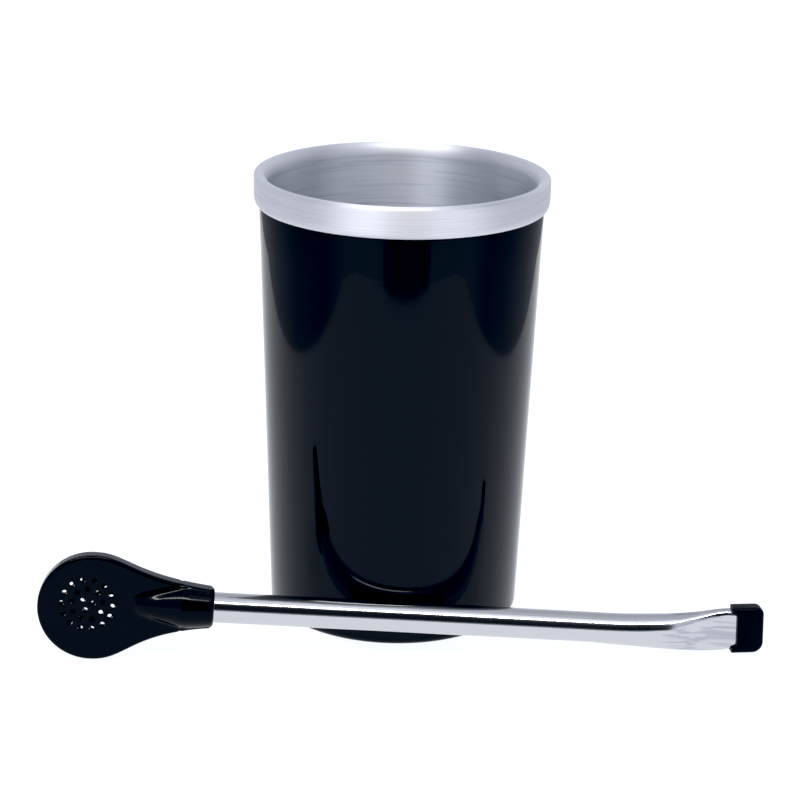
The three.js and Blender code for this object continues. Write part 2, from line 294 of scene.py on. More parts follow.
def cut(piece: Piece, tool: Piece, operation: str = "DIFFERENCE") -> None:
    """Cuts or joins one solid with another, which is used up.

    Args:
        piece: The solid that stays.
        tool: The other solid.
        operation: DIFFERENCE or UNION.
    """
    apply_modifier(piece, "BOOLEAN", operation=operation, solver="EXACT", object=tool)
    mesh = tool.data
    bpy.data.objects.remove(tool)
    bpy.data.meshes.remove(mesh)


def copies(source: Piece, places: Sequence[Vector]) -> Piece:
    """Makes one object of a shape repeated at several places, and uses the shape up."""
    made = []
    for place in places:
        copy = source.copy()
        copy.data = source.data.copy()
        copy.data.transform(Matrix.Translation(place))
        bpy.context.scene.collection.objects.link(copy)
        made.append(copy)
    bpy.data.objects.remove(source)
    deselect_all()
    for copy in made:
        copy.select_set(True)
    bpy.context.view_layer.objects.active = made[0]
    bpy.ops.object.join()
    return made[0]


def linear(colour: str) -> Colour:
    """Turns an sRGB hex colour to Blender's linear values."""
    parts = [int(colour[i : i + 2], 16) / 255 for i in (1, 3, 5)]
    red, green, blue = [c / 12.92 if c <= 0.04045 else ((c + 0.055) / 1.055) ** 2.4 for c in parts]
    return red, green, blue, 1.0


def add_node(
    tree: Tree, kind: str, inputs: dict[str | int, object] | None = None, **settings: object
) -> Node:
    """Adds a shader node.

    Args:
        tree: The tree it goes in.
        kind: Its type, without the ShaderNode that each one starts with.
        inputs: What goes in each of its sockets: a value, an output, or a node for its first output.
        settings: Its own properties.

    Returns:
        The new node.
    """
    node = tree.nodes.new("ShaderNode" + kind)
    for name, value in settings.items():
        setattr(node, name, value)
    for socket, value in (inputs or {}).items():
        if isinstance(value, Node):
            value = value.outputs[0]
        if isinstance(value, Socket):
            tree.links.new(value, node.inputs[socket])
        else:
            node.inputs[socket].default_value = value
    return node


def set_ramp(node: Node, stops: Levels) -> None:
    """Sets a colour ramp's grey stops.

    Args:
        node: The ramp.
        stops: The stops in order, each a place and a level.
    """
    ramp = node.color_ramp
    ramp.interpolation = "LINEAR"
    while len(ramp.elements) > 1:
        ramp.elements.remove(ramp.elements[-1])
    for i, (place, level) in enumerate(stops):
        element = ramp.elements[0] if i == 0 else ramp.elements.new(place)
        element.position = place
        element.color = (level, level, level, 1)


def blank_material(name: str) -> tuple[Material, Tree]:
    """Makes a material with no nodes, and gives it and its tree."""
    material = bpy.data.materials.new(name)
    material.use_nodes = True
    material.node_tree.nodes.clear()
    return material, material.node_tree


def per_mm(size: float) -> float:
    """Gives a noise scale for a pattern whose features are so many millimetres wide."""
    return 1 / (size * MM)


@dataclass(frozen=True)
class Finish:
    """A finish with its shader; each kind adds its own pattern."""

    name: str
    colour: str
    roughness: float
    metallic: float = 0.0
    specular: float = 0.5
    ior: float = 1.5
    rougher: float = 0.06

    def start(self) -> tuple[Material, Tree, Node, Socket]:
        """Makes the material with its shader.

        Returns:
            The material, its tree, its shader, and the object coordinates.
        """
        material, tree = blank_material(self.name)
        shader = add_node(
            tree,
            "BsdfPrincipled",
            {
                "Base Color": linear(self.colour),
                "Roughness": self.roughness,
                "Metallic": self.metallic,
                "Specular IOR Level": self.specular,
                "IOR": self.ior,
            },
        )
        add_node(tree, "OutputMaterial", {"Surface": shader})
        place = add_node(tree, "TexCoord").outputs["Object"]
        return material, tree, shader, place

    def roughen(self, tree: Tree, shader: Node, pattern: Socket) -> None:
        """Lets a pattern from 0 to 1 make the surface rougher in places.

        Args:
            tree: The material's tree.
            shader: Its shader.
            pattern: The pattern.
        """
        rough = add_node(
            tree,
            "MapRange",
            {"Value": pattern, "To Min": self.roughness, "To Max": self.roughness + self.rougher},
        )
        tree.links.new(rough.outputs["Result"], shader.inputs["Roughness"])

    def bump(self, tree: Tree, shader: Node, height: Socket, depth_mm: float) -> None:
        """Turns a pattern from 0 to 1 into relief.

        Args:
            tree: The material's tree.
            shader: Its shader.
            height: The pattern.
            depth_mm: How deep the relief is, in millimetres.
        """
        relief = add_node(tree, "Bump", {"Height": height, "Distance": depth_mm * MM, "Strength": 1.0})
        tree.links.new(relief.outputs["Normal"], shader.inputs["Normal"])


@dataclass(frozen=True)
class MouldedPlastic(Finish):
    """Injection-moulded black plastic: a hard gloss that mirrors faintly, with a soft waviness.

    The waviness is the mould's polish showing in the reflections, and fine scuffs break the gloss.
    """

    wave_mm: float = 14.0
    wave_depth_mm: float = 0.01
    scuff_mm: float = 1.6

    def build(self) -> Material:
        """Makes the material."""
        material, tree, shader, place = self.start()
        wave = add_node(tree, "TexNoise", {"Vector": place, "Scale": per_mm(self.wave_mm), "Detail": 1.0})
        scuff = add_node(tree, "TexNoise", {"Vector": place, "Scale": per_mm(self.scuff_mm), "Detail": 4.0})
        self.roughen(tree, shader, scuff.outputs["Fac"])
        self.bump(tree, shader, wave.outputs["Fac"], self.wave_depth_mm)
        return material


@dataclass(frozen=True)
class TurnedAluminium(Finish):
    """Bare aluminium off the lathe: fine rings round the axis smear each reflection upright.

    Single rings are finer than the picture shows, so the pattern groups them in coarser lines.
    """

    line_mm: float = 0.35
    run_mm: float = 24.0
    line_depth_mm: float = 0.0012
    rougher: float = 0.1
    anisotropy: float = 0.75
    darker: str = "#cdced4"
    blotch_mm: float = 14.0
    lines_from: float = 0.3
    lines_to: float = 0.55
    smear_turn: float = 0.25

    def build(self) -> Material:
        """Makes the material."""
        material, tree, shader, place = self.start()
        split = add_node(tree, "SeparateXYZ", {"Vector": place})
        flat = add_node(tree, "CombineXYZ", {"X": split.outputs["X"], "Y": split.outputs["Y"], "Z": 0.0})
        out = add_node(tree, "VectorMath", {0: flat}, operation="LENGTH")
        across = add_node(tree, "Math", {0: split.outputs["Z"], 1: out.outputs["Value"]}, operation="ADD")
        along = self.run_mm / self.line_mm
        squeezed = add_node(tree, "Math", {0: across, 1: along}, operation="MULTIPLY")
        lines_place = add_node(
            tree, "CombineXYZ", {"X": split.outputs["X"], "Y": split.outputs["Y"], "Z": squeezed}
        )
        lines = add_node(
            tree, "TexNoise", {"Vector": lines_place, "Scale": per_mm(self.run_mm), "Detail": 3.0}
        )
        blotch = add_node(
            tree, "TexNoise", {"Vector": place, "Scale": per_mm(self.blotch_mm), "Detail": 2.0}
        )
        contrast = add_node(
            tree,
            "MapRange",
            {"Value": lines, "From Min": self.lines_from, "From Max": self.lines_to},
            interpolation_type="SMOOTHSTEP",
        )
        tone = add_node(
            tree, "Mix", {0: contrast, 6: linear(self.darker), 7: linear(self.colour)}, data_type="RGBA"
        )
        tree.links.new(tone.outputs[2], shader.inputs["Base Color"])
        self.roughen(tree, shader, blotch.outputs["Fac"])
        self.bump(tree, shader, lines.outputs["Fac"], self.line_depth_mm)
        shader.inputs["Anisotropic"].default_value = self.anisotropy
        shader.inputs["Anisotropic Rotation"].default_value = self.smear_turn
        tangent = add_node(tree, "Tangent", direction_type="RADIAL", axis="Z")
        tree.links.new(tangent.outputs["Tangent"], shader.inputs["Tangent"])
        return material


@dataclass(frozen=True)
class PolishedSteel(Finish):
    """Drawn stainless tube, buffed bright: a near mirror with faint polishing lines along it.

    Where the tube was pressed flat, the press dragged the metal in longer, duller marks.
    """

    line_mm: float = 0.35
    run_mm: float = 26.0
    line_depth_mm: float = 0.002
    mark_mm: float = 0.8
    mark_run_mm: float = 60.0
    mark_depth_mm: float = 0.03
    marks_start_mm: float = 60.0
    marks_full_mm: float = 76.0
    dragged: str = "#adadb4"
    dull_from: float = 0.42
    dull_to: float = 0.62
    rougher: float = 0.04

    def build(self) -> Material:
        """Makes the material."""
        material, tree, shader, place = self.start()
        own = STRAW_TURN.inverted()
        back = add_node(tree, "Mapping", {"Vector": place, "Rotation": own.to_euler("XYZ")})
        squeeze = add_node(
            tree, "Mapping", {"Vector": back, "Scale": (self.line_mm / self.run_mm, 1.0, 1.0)}
        )
        lines = add_node(
            tree, "TexNoise", {"Vector": squeeze, "Scale": per_mm(self.line_mm), "Detail": 3.0}
        )
        self.roughen(tree, shader, lines.outputs["Fac"])
        split = add_node(tree, "SeparateXYZ", {"Vector": back})
        pressed = add_node(
            tree,
            "MapRange",
            {
                "Value": split.outputs["X"],
                "From Min": self.marks_start_mm * MM,
                "From Max": self.marks_full_mm * MM,
            },
            interpolation_type="SMOOTHSTEP",
        )
        stretch = add_node(
            tree, "Mapping", {"Vector": back, "Scale": (self.mark_mm / self.mark_run_mm, 1.0, 1.0)}
        )
        marks = add_node(
            tree, "TexNoise", {"Vector": stretch, "Scale": per_mm(self.mark_mm), "Detail": 1.0}
        )
        marked = add_node(tree, "Math", {0: marks, 1: pressed}, operation="MULTIPLY")
        dull = add_node(
            tree, "MapRange", {"Value": marked, "From Min": self.dull_from, "From Max": self.dull_to}
        )
        tone = add_node(
            tree, "Mix", {0: dull, 6: linear(self.colour), 7: linear(self.dragged)}, data_type="RGBA"
        )
        tree.links.new(tone.outputs[2], shader.inputs["Base Color"])
        height = add_node(
            tree,
            "Math",
            {0: lines, 1: self.line_depth_mm / self.mark_depth_mm, 2: marked},
            operation="MULTIPLY_ADD",
        )
        self.bump(tree, shader, height.outputs["Value"], self.mark_depth_mm)
        return material


@dataclass(frozen=True)
class SoftRubber(Finish):
    """Moulded black rubber: a dull sheen with a fine even grain and no mirror."""

    grain_mm: float = 0.3
    grain_depth_mm: float = 0.01
    rougher: float = 0.12

    def build(self) -> Material:
        """Makes the material."""
        material, tree, shader, place = self.start()
        grain = add_node(tree, "TexNoise", {"Vector": place, "Scale": per_mm(self.grain_mm), "Detail": 2.0})
        self.roughen(tree, shader, grain.outputs["Fac"])
        self.bump(tree, shader, grain.outputs["Fac"], self.grain_depth_mm)
        return material


SHELL_FINISH = MouldedPlastic("gloss_black_moulded_plastic", "#05080f", 0.04, specular=0.18, ior=1.46)
HEAD_FINISH = MouldedPlastic(
    "black_moulded_plastic",
    "#020307",
    0.06,
    specular=0.16,
    ior=1.46,
    scuff_mm=0.8,
    wave_depth_mm=0.004,
    rougher=0.04,
)
COLLAR_FINISH = TurnedAluminium(
    "turned_aluminium", "#efeff3", 0.46, metallic=1.0, anisotropy=0.85, darker="#e6e6eb"
)
INNER_FINISH = TurnedAluminium(
    "spun_aluminium",
    "#e4e6ec",
    0.4,
    metallic=1.0,
    anisotropy=0.9,
    line_mm=0.6,
    line_depth_mm=0.004,
    darker="#d2d5dd",
)
TUBE_FINISH = PolishedSteel("polished_stainless_steel", "#c6c6c9", 0.09, metallic=1.0)
CAP_FINISH = SoftRubber("soft_black_rubber", "#040408", 0.42, specular=0.13, ior=1.46)


def finish_piece(
    piece: Piece, materials: Sequence[Material], to_frame: Matrix, node: str
) -> None:
    """Shades a piece, brings it into the frame, hides the CAD node that it replaces and hangs it under the
    root body.

    Args:
        piece: The object, in its own millimetres.
        materials: Its materials, the first being that of every face as yet.
        to_frame: The way from its own place to the frame's metres.
        node: The CAD node that it replaces.
    """
    for material in materials:
        piece.data.materials.append(material)
    piece.data.transform(to_frame)
    piece.data.update()
    pick(piece)
    bpy.ops.object.shade_smooth_by_angle(angle=SHARP_EDGE)
    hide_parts(node)
    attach(piece, "root")
    log.info("%s: %d faces for %s", piece.name, len(piece.data.polygons), node)


@dataclass
class Cup:
    """The cup: a glossy black shell, and an aluminium liner with a thick collar."""

    height: float = 124.2
    collar_radius: float = 40.3
    collar_height: float = 8.4
    collar_round: float = 1.0
    collar_curl: float = 1.1
    collar_curl_height: float = 2.6
    curl_land: float = 0.3
    curl_from: float = -80
    lip_width: float = 3.2
    lip_crest: float = 1.5
    lip_depth: float = 3.2
    lip_lean: float = 0.35
    lip_from: float = 95
    throat_depth: float = 6.2
    throat_in: float = 0.15
    throat_down: float = 0.5
    shell_top_radius: float = 38.8
    shell_foot_radius: float = 34.93
    shell_wall: float = 1.1
    shell_floor: float = 3.0
    foot_round: float = 1.8
    nest_round: float = 3.3
    liner_wall: float = 0.85
    liner_floor: float = 1.6
    liner_corner: float = 6.0
    centre: float = 4.0
    gap: float = 0.3
    groove_radius: float = 25.0
    groove_half: float = 0.8
    edge: float = 0.3
    sides: int = 192

    def shell_radius(self, z: float) -> float:
        """Gives the shell's outer radius at a height."""
        top = self.height - self.collar_height - self.gap
        return self.shell_foot_radius + (self.shell_top_radius - self.shell_foot_radius) * z / top

    def shell_profile(self) -> Profile:
        """Gives the shell's profile, from its base round to its inner floor."""
        top = self.height - self.collar_height - self.gap
        foot = self.foot_round
        inside = self.nest_round
        centre = self.shell_radius(foot) - foot
        inner_z = self.shell_floor + inside
        inner_r = self.shell_radius(inner_z) - self.shell_wall
        outer_top = (self.shell_radius(top), top)
        inner_top = (self.shell_radius(top) - self.shell_wall, top)
        edge = self.edge
        return [
            (self.groove_radius - self.groove_half, 0),
            (self.groove_radius - self.groove_half / 2, self.groove_half),
            (self.groove_radius + self.groove_half / 2, self.groove_half),
            (self.groove_radius + self.groove_half, 0),
            *straight((self.groove_radius + self.groove_half, 0), (centre, 0), 3),
            *arc(centre, foot, foot, foot, -90, 0, 14),
            *straight((self.shell_radius(foot), foot), outer_top, 10),
            *arc(outer_top[0] - edge, top - edge, edge, edge, 0, 90, 3),
            *arc(inner_top[0] + edge, top - edge, edge, edge, 90, 180, 3),
            *straight(inner_top, (inner_r, inner_z), 10),
            *arc(inner_r - inside, inner_z, inside, inside, 0, -90, 8),
        ]

    def liner_profile(self) -> Profile:
        """Gives the liner's profile, from its base, up under the collar, over the lip and in."""
        away = self.shell_wall + self.gap
        bottom = self.shell_floor + self.gap
        floor = bottom + self.liner_floor
        low = self.height - self.collar_height
        outside = self.nest_round
        outer_z = bottom + outside
        outer_r = self.shell_radius(outer_z) - away
        under = (self.shell_radius(low) - away, low)
        curl = self.collar_radius - self.collar_curl
        lip = self.collar_radius - self.lip_width
        crest = self.collar_radius - self.lip_crest
        lip_low = self.height - self.lip_depth
        throat = self.height - self.throat_depth
        inner_top = (self.shell_radius(throat) - away - self.liner_wall, throat)
        corner_z = floor + self.liner_corner
        corner_r = self.shell_radius(corner_z) - away - self.liner_wall
        top_round = self.collar_round
        corner = self.liner_corner
        lip_reach = crest - lip + self.lip_lean
        curl_height = self.collar_curl_height
        collar_low = (self.collar_radius, low + curl_height)
        collar_high = (self.collar_radius, self.height - top_round)
        return [
            *arc(outer_r - outside, outer_z, outside, outside, -90, 0, 8),
            *straight((outer_r, outer_z), under, 8),
            under,
            (curl - self.curl_land, low),
            *arc(curl, collar_low[1], self.collar_curl, curl_height, self.curl_from, 0, 10),
            *straight(collar_low, collar_high, 4),
            *arc(collar_high[0] - top_round, collar_high[1], top_round, top_round, 0, 90, 8),
            *arc(crest, lip_low, lip_reach, self.lip_depth, self.lip_from, 180, 16),
            *self.throat_curve((crest - lip_reach, lip_low), inner_top),
            *straight(inner_top, (corner_r, corner_z), 12),
            *arc(corner_r - corner, corner_z, corner, corner, 0, -90, 12),
            *straight((corner_r - corner, floor), (self.centre, floor), 6),
        ]

    def throat_curve(self, start: Pair, end: Pair) -> Profile:
        """Gives the soft step from under the lip to the straight inner wall."""
        x = start[0] - self.throat_in * (start[0] - end[0])
        z = start[1] - self.throat_down * (start[1] - end[1])
        return [(x, z), end]

    def build(self) -> None:
        """Makes and dresses both pieces."""
        shell = turned("black_shell", Axis.UPRIGHT, self.sides, self.shell_profile())
        finish_piece(shell, [SHELL_FINISH.build()], CUP_TO_FRAME, "cup_shell")
        liner = turned("aluminium_liner", Axis.UPRIGHT, self.sides, self.liner_profile())
        inside = self.height - self.lip_depth
        for face in liner.data.polygons:
            middle = face.center
            if middle.z < inside and math.hypot(middle.x, middle.y) < self.collar_radius - self.lip_width:
                face.material_index = 1
        finishes = [COLLAR_FINISH.build(), INNER_FINISH.build()]
        finish_piece(liner, finishes, CUP_TO_FRAME, "cup_liner")


@dataclass
class StrainerHead:
    """The straw's hollow strainer: a flat round with holes in both faces, and a conical socket."""

    radius: float = 14.5
    drop: float = 1.25
    half: float = 2.4
    edge: float = 0.6
    wall: float = 0.9
    rim_wall: float = 1.3
    tangent: float = math.radians(92)
    leave_above: float = 9.3
    leave_below: float = 10.6
    arrive: float = 22.9
    slope: float = 0.105
    end: float = 32.5
    end_radius: float = 5.35
    end_round: float = 0.8
    nose: float = 10.8
    blunt: float = 12.4
    blunt_radius: float = 3.5
    shoulder: float = 24.2
    shoulder_round: float = 1.3
    socket_radius: float = 6.05
    socket_depth: float = 10.0
    tip: Pair = (0.3, 1.2)
    tip_side: Pair = (1.4, 0.8)
    shoulder_crown: float = 0.1
    end_lift: float = 0.04
    end_land: float = 0.1
    bore: float = 4.2
    passage: float = 2.6
    passage_start: float = 19.6
    hole: float = 0.68
    hole_sides: int = 24
    cutter: float = 30.0
    clear: float = 1.0
    front_at: Pair = (-1.2, 1.0)
    back_at: Pair = (-1.6, 0.0)
    front: Rings = ((14, 6.85, 359.5), (9, 4.25, 331), (3, 1.65, 134))
    back: Rings = ((16, 6.9, 18), (4, 4.5, 58), (3, 1.4, 33))
    voxel: float = 0.26
    smoothing: int = 10
    crease_reach: float = 1.4
    crease_smoothing: int = 70

    def outline(self, inset: float) -> Profile:
        """Gives the head's outline in XZ, from its end above the axis round to below it.

        Args:
            inset: How far inside the real outline it runs.

        Returns:
            The points.
        """
        radius = self.radius - inset
        sin, cos = math.sin(self.tangent), math.cos(self.tangent)
        end = self.end_radius - inset
        arrive = Vector((self.end - self.arrive, end + self.arrive * self.slope))
        start_x = radius * cos
        above = Vector((start_x, radius * sin - self.drop))
        below = Vector((start_x, -radius * sin - self.drop))
        above_handle = above + Vector((sin, -cos)) * self.leave_above
        below_handle = below + Vector((sin, cos)) * self.leave_below
        top_end = Vector((self.end, end))
        bottom_end = Vector((self.end, -end))
        bottom_arrive = Vector((arrive.x, -arrive.y))
        degrees = math.degrees(self.tangent)
        round_part = arc(0, -self.drop, radius, radius, degrees, 360 - degrees, 72)
        return [
            (self.end, end),
            *bezier(top_end, arrive, above_handle, above, 28)[:-1],
            *round_part,
            *bezier(below, below_handle, bottom_arrive, bottom_end, 28),
        ]

    def steepness(self) -> float:
        """Gives how fast the socket's cone widens."""
        return (self.socket_radius - self.blunt_radius) / (self.shoulder - self.blunt)

    def socket(self) -> Piece:
        """Makes the conical socket that rises out of the flat head."""
        before = self.shoulder - self.shoulder_round
        after = self.shoulder + self.shoulder_round
        end = self.end - self.end_round
        cone = (self.socket_radius - self.steepness() * self.shoulder_round, before)
        profile = [
            (self.tip[0], self.nose - self.tip[1]),
            (self.tip_side[0], self.nose - self.tip_side[1]),
            (self.half, self.nose),
            (self.blunt_radius, self.blunt),
            cone,
            ((cone[0] + self.socket_radius) / 2 + self.shoulder_crown, self.shoulder),
            (self.socket_radius, after),
            (self.end_radius + self.end_lift, end - self.end_land),
            *arc(self.end_radius - self.end_round, end, self.end_round, self.end_round, 0, 90, 6)[1:],
        ]
        return turned("socket", Axis.ALONG_STRAW, 96, profile)

    def soften_crease(self, head: Piece) -> None:
        """Smooths the crease between the flat face and the cone into a soft hollow."""
        crease = head.vertex_groups.new(name="crease")
        near = []
        for vertex in head.data.vertices:
            x, y, z = vertex.co
            if self.nose - 2 < x < self.shoulder:
                cone = self.blunt_radius + (x - self.blunt) * self.steepness()
                away = abs(math.hypot(z, self.half) - cone)
                if away < self.crease_reach and abs(abs(y) - self.half) < self.crease_reach:
                    near.append(vertex.index)
        crease.add(near, 1.0, "REPLACE")
        apply_modifier(
            head, "SMOOTH", factor=0.5, iterations=self.crease_smoothing, vertex_group=crease.name
        )
        head.vertex_groups.clear()

    def holes(self, rings: Rings, at: Pair, start: float, stop: float) -> Piece:
        """Makes the drills of one face's holes.

        Args:
            rings: Each ring's count, radius and turn in degrees.
            at: The rings' centre, from the middle of the head.
            start, stop: How far the drills run along Y.

        Returns:
            One object with all the drills.
        """
        deselect_all()
        bpy.ops.mesh.primitive_cylinder_add(
            vertices=self.hole_sides, radius=self.hole, depth=stop - start, rotation=(math.pi / 2, 0, 0)
        )
        drill = bpy.context.object
        bpy.ops.object.transform_apply(rotation=True)
        places = []
        for count, radius, turn in rings:
            for i in range(count):
                angle = math.radians(turn) + 2 * math.pi * i / count
                x = at[0] + radius * math.cos(angle)
                z = at[1] - self.drop + radius * math.sin(angle)
                places.append(Vector((x, (start + stop) / 2, z)))
        return copies(drill, places)

    def beyond(self, name: str, start: float) -> Piece:
        """Makes a wide cutter that takes away all past a place along the straw."""
        stop = self.end + self.clear
        return turned(name, Axis.ALONG_STRAW, 48, [(self.cutter, start), (self.cutter, stop)])

    def build(self) -> None:
        """Makes and dresses the head."""
        head = slab("strainer", self.outline(0), self.half, self.edge, 4)
        cut(head, self.beyond("square_end", self.end - self.end_round))
        cut(head, self.socket(), "UNION")
        apply_modifier(head, "REMESH", mode="VOXEL", voxel_size=self.voxel, adaptivity=0.0)
        apply_modifier(head, "SMOOTH", factor=0.5, iterations=self.smoothing)
        self.soften_crease(head)
        cavity_half = self.half - self.wall
        cavity_end = self.end - self.socket_depth
        cavity = slab("cavity", self.outline(self.rim_wall), cavity_half)
        cut(cavity, self.beyond("cavity_end", cavity_end))
        cut(head, cavity)
        bore = [
            (self.passage, self.passage_start),
            (self.passage, cavity_end),
            (self.bore, cavity_end),
            (self.bore, self.end + self.clear),
        ]
        cut(head, turned("bore", Axis.ALONG_STRAW, 64, bore))
        outside = self.half + self.clear
        inside = cavity_half - 0.5
        cut(head, self.holes(self.front, self.front_at, -outside, -inside))
        cut(head, self.holes(self.back, self.back_at, inside, outside))
        finish_piece(head, [HEAD_FINISH.build()], STRAW_TO_FRAME, "strainer_head")


@dataclass
class PressedEnd:
    """How the tube is pressed flat towards its mouth: place, rise, half width, half thickness."""

    rows: tuple[tuple[float, float, float, float], ...] = (
        (133.0, 0, 4.12, 4.12),
        (140.0, -0.14, 4.28, 4.12),
        (145.6, -0.18, 4.44, 4.11),
        (151.6, -0.14, 4.72, 4.06),
        (157.6, -0.02, 5.04, 3.7),
        (163.6, 0.36, 5.46, 2.5),
        (168.6, 0.97, 5.83, 1.78),
        (172.1, 1.48, 5.85, 1.66),
        (174.0, 1.66, 5.6, 1.65),
        (178.0, 1.67, 5.6, 1.65),
    )

    def at(self, x: float) -> Triple:
        """Gives rise, half width and half thickness at a place along the tube, on a smooth curve."""
        rows = self.rows
        if x <= rows[0][0]:
            return rows[0][1:]
        if x >= rows[-1][0]:
            return rows[-1][1:]
        i = max(k for k in range(len(rows) - 1) if rows[k][0] <= x)
        before, low = rows[max(i - 1, 0)], rows[i]
        high, after = rows[i + 1], rows[min(i + 2, len(rows) - 1)]
        span = high[0] - low[0]
        t = (x - low[0]) / span
        found = []
        for k in (1, 2, 3):
            m0 = (high[k] - before[k]) / (high[0] - before[0]) * span
            m1 = (after[k] - low[k]) / (after[0] - low[0]) * span
            if i == 0:
                m0 = 0.0
            value = (
                (2 * t**3 - 3 * t**2 + 1) * low[k]
                + (t**3 - 2 * t**2 + t) * m0
                + (3 * t**2 - 2 * t**3) * high[k]
                + (t**3 - t**2) * m1
            )
            found.append(value)
        return found[0], found[1], found[2]


@dataclass
class StrawTube:
    """The steel tube: round in the socket, and pressed to a flat oval at the mouth."""

    radius: float = 4.12
    wall: float = 0.6
    start: float = 22.8
    end: float = 177.9
    sides: int = 96
    step: float = 0.9
    round_steps: int = 8
    pressed: PressedEnd = field(default_factory=PressedEnd)

    def stations(self) -> list[float]:
        """Gives the places of the rings along the tube."""
        first = self.pressed.rows[0][0]
        steps = self.round_steps
        round_part = [self.start + (first - self.start) * i / steps for i in range(steps)]
        count = round((self.end - first) / self.step)
        return round_part + [first + (self.end - first) * i / count for i in range(count + 1)]

    def press(self, tube: Piece) -> None:
        """Moves the halves of each thinned ring apart, which makes the pressed tube's flat sides."""
        for vertex in tube.data.vertices:
            x, y, z = vertex.co
            rise, width, thickness = self.pressed.at(x)
            vertex.co.z = z + math.copysign(width - thickness, z) + rise

    def build(self) -> None:
        """Makes and dresses the tube."""
        places = self.stations()
        outside = [(self.pressed.at(x)[2], x) for x in places]
        inside = [(self.pressed.at(x)[2] - self.wall, x) for x in reversed(places)]
        profile = outside + inside
        tube = start_ring("tube", Axis.ALONG_STRAW, self.sides, *profile[0])
        grow_rings(Axis.ALONG_STRAW, profile)
        join_rims()
        face_outwards(tube)
        self.press(tube)
        finish_piece(tube, [TUBE_FINISH.build()], STRAW_TO_FRAME, "straw_tube")


@dataclass
class MouthCap:
    """The soft cap on the mouth end, with a notch in each broad face and a slot to drink from."""

    place: float = 174.0
    rise: float = 1.66
    turn: float = math.radians(4.5)
    start: float = -0.5
    end: float = 8.1
    half_width: float = 6.4
    half: float = 2.6
    edge: float = 0.9
    above: float = 1.9
    below: float = 3.0
    face_start: float = 0.8
    notch_half: float = 5.3
    notch_corner: float = 1.8
    slot_half_width: float = 4.4
    slot_half: float = 0.8
    tube_half_width: float = 5.6
    tube_half: float = 1.65
    tube_length: float = 3.9
    fit: float = 0.06
    clear: float = 1.0
    cut_edge: float = 0.18
    cut_angle: float = 0.9

    def outline(self) -> Profile:
        """Gives the cap's outline in XZ."""
        low, high = self.below, self.above
        return [
            (self.start, -self.half_width),
            *arc(self.end - low, low - self.half_width, low, low, -90, 0, 14),
            *arc(self.end - high, self.half_width - high, high, high, 0, 90, 12),
            (self.start, self.half_width),
        ]

    def notch(self) -> Profile:
        """Gives the outline of the notch that shows the tube's end."""
        back = self.start - self.clear
        corner = self.face_start - self.notch_corner
        side = self.notch_half - self.notch_corner
        return [
            (back, -self.notch_half),
            *arc(corner, -side, self.notch_corner, self.notch_corner, -90, 0, 8),
            *arc(corner, side, self.notch_corner, self.notch_corner, 0, 90, 8),
            (back, self.notch_half),
        ]

    def bar(self, name: str, start: float, stop: float, half_width: float, half: float) -> Piece:
        """Makes a straight bar with the pressed tube's section."""
        bar = turned(name, Axis.ALONG_STRAW, 64, [(half, start), (half, stop)])
        for vertex in bar.data.vertices:
            vertex.co.z += math.copysign(half_width - half, vertex.co.z)
        return bar

    def build(self) -> None:
        """Makes and dresses the cap."""
        cap = slab("cap", self.outline(), self.half, self.edge, 5)
        cut(cap, slab("notch", self.notch(), 2 * self.half))
        pocket = self.bar(
            "pocket",
            self.start - self.clear,
            self.tube_length + self.fit,
            self.tube_half_width + self.fit,
            self.tube_half + self.fit,
        )
        cut(cap, pocket)
        past = self.end + self.clear
        cut(cap, self.bar("slot", self.tube_length, past, self.slot_half_width, self.slot_half))
        apply_modifier(
            cap, "BEVEL", width=self.cut_edge, segments=2, limit_method="ANGLE", angle_limit=self.cut_angle
        )
        to_mouth = Matrix.Translation((self.place, 0, self.rise)) @ Matrix.Rotation(-self.turn, 4, "Y")
        finish_piece(cap, [CAP_FINISH.build()], STRAW_TO_FRAME @ to_mouth, "mouth_cap")


class LightField:
    """The nodes that give the world's light by the direction it comes from."""

    def __init__(self, tree: Tree) -> None:
        """Splits the direction in its parts.

        Args:
            tree: The world's tree.
        """
        self.tree = tree
        place = add_node(tree, "TexCoord").outputs["Generated"]
        split = add_node(tree, "SeparateXYZ", {"Vector": place})
        self.side = split.outputs["X"]
        self.up = split.outputs["Z"]
        self.ahead = self.sum_of("MULTIPLY", split.outputs["Y"], -1.0)
        self.azimuth = self.sum_of("ARCTAN2", self.side, self.ahead)

    def sum_of(self, kind: str, *values: Socket | float) -> Socket:
        """Works one sum of two or three values."""
        node = add_node(self.tree, "Math", dict(enumerate(values)), operation=kind)
        return node.outputs["Value"]

    def zone(self, value: Socket, start: float, stop: float) -> Socket:
        """Gives 0 before a range and 1 past it, with a soft step between."""
        step = add_node(
            self.tree,
            "MapRange",
            {"Value": value, "From Min": start, "From Max": stop},
            interpolation_type="SMOOTHSTEP",
        )
        return step.outputs["Result"]

    def span(self, value: Socket, low: float, high: float, soft: float) -> Socket:
        """Gives 1 between two values and 0 outside, with soft ends."""
        rise = self.zone(value, low - soft, low + soft)
        fall = self.zone(value, high + soft, high - soft)
        return self.sum_of("MULTIPLY", rise, fall)

    def sector(self, low: float, high: float, soft: float) -> Socket:
        """Gives 1 between two bearings in degrees, counted from the camera's side, and 0 outside."""
        return self.span(self.azimuth, math.radians(low), math.radians(high), math.radians(soft))

    def levels(self, stops: Levels) -> Socket:
        """Gives the light's level by its height, the sine of its angle over the horizon."""
        ramp = add_node(self.tree, "ValToRGB", {"Fac": self.up})
        set_ramp(ramp, stops)
        return ramp.outputs["Color"]

    def blend(self, factor: object, a: object, b: object, kind: str = "MIX") -> Socket:
        """Goes from one colour to another by a factor, or multiplies them."""
        node = add_node(self.tree, "Mix", {0: factor, 6: a, 7: b}, data_type="RGBA", blend_type=kind)
        return node.outputs[2]


